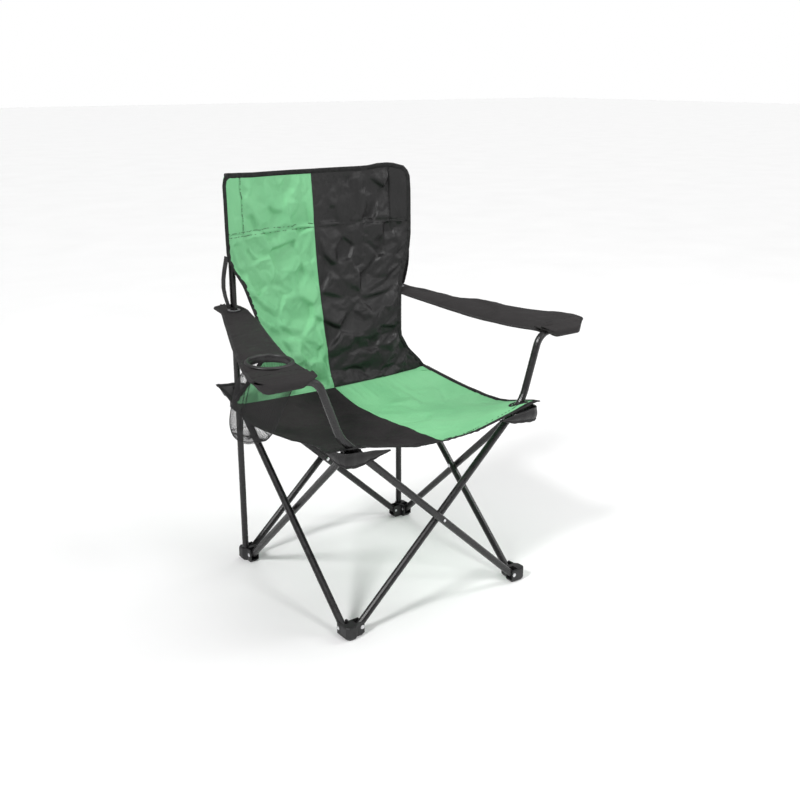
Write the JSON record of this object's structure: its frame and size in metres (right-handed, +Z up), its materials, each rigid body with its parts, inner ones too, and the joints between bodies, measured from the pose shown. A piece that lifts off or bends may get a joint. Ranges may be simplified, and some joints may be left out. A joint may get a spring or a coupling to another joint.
{
  "type": "folding camp chair",
  "caption": "Folding camp chair with crossed tube legs, two-colour fabric seat and back, slung armrests and a net cup holder; folds into a tall bundle.",
  "frame": {"origin": "on the floor, under the middle of the chair's overall box; the middle of the leg frame's four corner axes, which are 0.398 m apart, is 15.4 mm in front of it", "axes": "+Z up, +X towards the sitter's left, -Y towards the front of the chair"},
  "size_m": [0.77, 0.4758, 0.7965],
  "materials": {
    "frame_tube": "satin powder coat",
    "black_plastic": "satin moulded",
    "rivet": "zinc plated",
    "grey_eyelet": "satin",
    "green_fabric": "coated polyester plain weave",
    "black_fabric": "coated polyester plain weave",
    "armrest_fabric": "coated polyester, charcoal",
    "net_mesh": "knitted mesh",
    "webbing": "woven webbing"
  },
  "bodies": {
    "rear_leg_right": {"foot_rear_right": "black_plastic", "rivet_foot_rear_right_a": "rivet", "rivet_foot_rear_right_b": "rivet", "back_post_right": "frame_tube", "post_cap_right": "black_plastic", "back_panel_right": "green_fabric", "arm_strap_right": "webbing", "arm_eyelet_right": "grey_eyelet"},
    "rear_leg_left": {"foot_rear_left": "black_plastic", "rivet_foot_rear_left_a": "rivet", "rivet_foot_rear_left_b": "rivet", "back_post_left": "frame_tube", "post_cap_left": "black_plastic", "back_panel_left": "black_fabric", "arm_strap_left": "webbing", "arm_eyelet_left": "grey_eyelet"},
    "front_foot_right": {"foot_front_right": "black_plastic", "rivet_foot_front_right_a": "rivet", "rivet_foot_front_right_b": "rivet"},
    "front_foot_left": {"foot_front_left": "black_plastic", "rivet_foot_front_left_a": "rivet", "rivet_foot_front_left_b": "rivet"},
    "rear_tube_outer": {"rear_tube_outer": "frame_tube", "rivet_rear_crossing": "rivet"},
    "rear_tube_inner": {"rear_tube_inner": "frame_tube"},
    "right_tube_inner": {"right_tube_inner": "frame_tube"},
    "right_tube_outer": {"right_tube_outer": "frame_tube", "rivet_right_crossing": "rivet"},
    "front_tube_inner": {"front_tube_inner": "frame_tube", "arm_cap_left": "black_plastic", "seat_grommet_left": "black_plastic"},
    "front_tube_outer": {"front_tube_outer": "frame_tube", "rivet_front_crossing": "rivet", "arm_cap_right": "black_plastic", "seat_grommet_right": "black_plastic"},
    "left_tube_outer": {"left_tube_outer": "frame_tube", "rivet_left_crossing": "rivet"},
    "left_tube_inner": {"left_tube_inner": "frame_tube"},
    "collar_left": {"collar_left": "black_plastic", "rivet_collar_left_a": "rivet", "rivet_collar_left_b": "rivet", "corner_pocket_rear_left": "black_fabric"},
    "collar_right": {"collar_right": "black_plastic", "rivet_collar_right_a": "rivet", "rivet_collar_right_b": "rivet", "corner_pocket_rear_right": "black_fabric"},
    "bracket_right": {"bracket_right": "black_plastic", "rivet_bracket_right_a": "rivet", "rivet_bracket_right_b": "rivet", "corner_pocket_front_right": "black_fabric"},
    "bracket_left": {"bracket_left": "black_plastic", "rivet_bracket_left_a": "rivet", "rivet_bracket_left_b": "rivet", "corner_pocket_front_left": "black_fabric"},
    "seat_right": {"seat_panel_right": "black_fabric"},
    "seat_left": {"seat_panel_left": "green_fabric"},
    "arm_right": {"armrest_right": "armrest_fabric", "cup_ring": "black_plastic", "cup_net": "net_mesh"},
    "arm_left": {"armrest_left": "armrest_fabric"}
  },
  "joints": [
    {"name": "fold", "type": "hinge", "parent": "rear_leg_right", "child": "rear_tube_outer", "pos_m": [-0.179, 0.1911, 0.017], "axis": [0, -1, 0], "range_deg": [0, 41.9], "deforming": ["back_panel_right", "back_panel_left", "arm_strap_right", "arm_strap_left"]},
    {"name": "rear_crossing", "type": "hinge", "parent": "rear_tube_outer", "child": "rear_tube_inner", "pos_m": [0, 0.1836, 0.1825], "axis": [0, 1, 0], "range_deg": [0, 83.8]},
    {"name": "rear_foot_left_rear_pivot", "type": "hinge", "parent": "rear_tube_inner", "child": "rear_leg_left", "pos_m": [0.179, 0.1761, 0.017], "axis": [0, -1, 0], "range_deg": [0, 41.9]},
    {"name": "collar_left_rear_pivot", "type": "hinge", "parent": "rear_tube_outer", "child": "collar_left", "pos_m": [0.179, 0.1911, 0.348], "axis": [0, 1, 0], "range_deg": [0, 41.9], "deforming": ["corner_pocket_rear_left"]},
    {"name": "collar_right_rear_pivot", "type": "hinge", "parent": "rear_tube_inner", "child": "collar_right", "pos_m": [-0.179, 0.1761, 0.348], "axis": [0, -1, 0], "range_deg": [0, 41.9], "deforming": ["corner_pocket_rear_right"]},
    {"name": "rear_foot_right_side_pivot", "type": "hinge", "parent": "rear_leg_right", "child": "right_tube_inner", "pos_m": [-0.1915, 0.1636, 0.017], "axis": [-1, 0, 0], "range_deg": [0, 41.9]},
    {"name": "right_crossing", "type": "hinge", "parent": "right_tube_inner", "child": "right_tube_outer", "pos_m": [-0.199, -0.0154, 0.1825], "axis": [1, 0, 0], "range_deg": [0, 83.8]},
    {"name": "front_foot_right_side_pivot", "type": "hinge", "parent": "right_tube_outer", "child": "front_foot_right", "pos_m": [-0.2065, -0.1944, 0.017], "axis": [-1, 0, 0], "range_deg": [0, 41.9]},
    {"name": "front_foot_right_front_pivot", "type": "hinge", "parent": "front_foot_right", "child": "front_tube_inner", "pos_m": [-0.179, -0.2069, 0.017], "axis": [0, -1, 0], "range_deg": [0, 41.9]},
    {"name": "front_crossing", "type": "hinge", "parent": "front_tube_inner", "child": "front_tube_outer", "pos_m": [0, -0.2144, 0.1825], "axis": [0, 1, 0], "range_deg": [0, 83.8]},
    {"name": "front_foot_left_front_pivot", "type": "hinge", "parent": "front_tube_outer", "child": "front_foot_left", "pos_m": [0.179, -0.2219, 0.017], "axis": [0, -1, 0], "range_deg": [0, 41.9]},
    {"name": "rear_foot_left_side_pivot", "type": "hinge", "parent": "rear_leg_left", "child": "left_tube_outer", "pos_m": [0.2065, 0.1636, 0.017], "axis": [-1, 0, 0], "range_deg": [0, 41.9]},
    {"name": "left_crossing", "type": "hinge", "parent": "left_tube_outer", "child": "left_tube_inner", "pos_m": [0.199, -0.0154, 0.1825], "axis": [1, 0, 0], "range_deg": [0, 83.8]},
    {"name": "bracket_right_side_pivot", "type": "hinge", "parent": "right_tube_inner", "child": "bracket_right", "pos_m": [-0.1915, -0.1944, 0.348], "axis": [1, 0, 0], "range_deg": [0, 41.9], "deforming": ["corner_pocket_front_right"]},
    {"name": "bracket_left_side_pivot", "type": "hinge", "parent": "left_tube_outer", "child": "bracket_left", "pos_m": [0.2065, -0.1944, 0.348], "axis": [1, 0, 0], "range_deg": [0, 41.9], "deforming": ["corner_pocket_front_left"]},
    {"name": "seat_right_fold", "type": "hinge", "parent": "bracket_right", "child": "seat_right", "pos_m": [-0.199, -0.2144, 0.368], "axis": [0, 1, 0], "range_deg": [0, 77.52], "deforming": ["seat_panel_right"]},
    {"name": "seat_left_fold", "type": "hinge", "parent": "bracket_left", "child": "seat_left", "pos_m": [0.199, -0.2144, 0.368], "axis": [0, -1, 0], "range_deg": [0, 77.52], "deforming": ["seat_panel_left"]},
    {"name": "arm_right_turn", "type": "hinge", "parent": "front_tube_outer", "child": "arm_right", "pos_m": [-0.3, -0.2219, 0.5], "axis": [-1, 0, 0], "range_deg": [0, 72.3], "deforming": ["armrest_right", "cup_net", "cup_ring"]},
    {"name": "arm_left_turn", "type": "hinge", "parent": "front_tube_inner", "child": "arm_left", "pos_m": [0.3, -0.2069, 0.5], "axis": [-1, 0, 0], "range_deg": [0, 72.3], "deforming": ["armrest_left"]}
  ],
  "couplings": [
    {"joint": "rear_crossing", "follows": "fold", "ratio": 2},
    {"joint": "rear_foot_left_rear_pivot", "follows": "fold", "ratio": 1},
    {"joint": "collar_left_rear_pivot", "follows": "fold", "ratio": 1},
    {"joint": "collar_right_rear_pivot", "follows": "fold", "ratio": 1},
    {"joint": "rear_foot_right_side_pivot", "follows": "fold", "ratio": 1},
    {"joint": "right_crossing", "follows": "fold", "ratio": 2},
    {"joint": "front_foot_right_side_pivot", "follows": "fold", "ratio": 1},
    {"joint": "front_foot_right_front_pivot", "follows": "fold", "ratio": 1},
    {"joint": "front_crossing", "follows": "fold", "ratio": 2},
    {"joint": "front_foot_left_front_pivot", "follows": "fold", "ratio": 1},
    {"joint": "rear_foot_left_side_pivot", "follows": "fold", "ratio": 1},
    {"joint": "left_crossing", "follows": "fold", "ratio": 2},
    {"joint": "bracket_right_side_pivot", "follows": "fold", "ratio": 1},
    {"joint": "bracket_left_side_pivot", "follows": "fold", "ratio": 1},
    {"joint": "seat_right_fold", "follows": "fold", "ratio": 1.85},
    {"joint": "seat_left_fold", "follows": "fold", "ratio": 1.85},
    {"joint": "arm_right_turn", "follows": "fold", "ratio": 1.7255},
    {"joint": "arm_left_turn", "follows": "fold", "ratio": 1.7255}
  ]
}
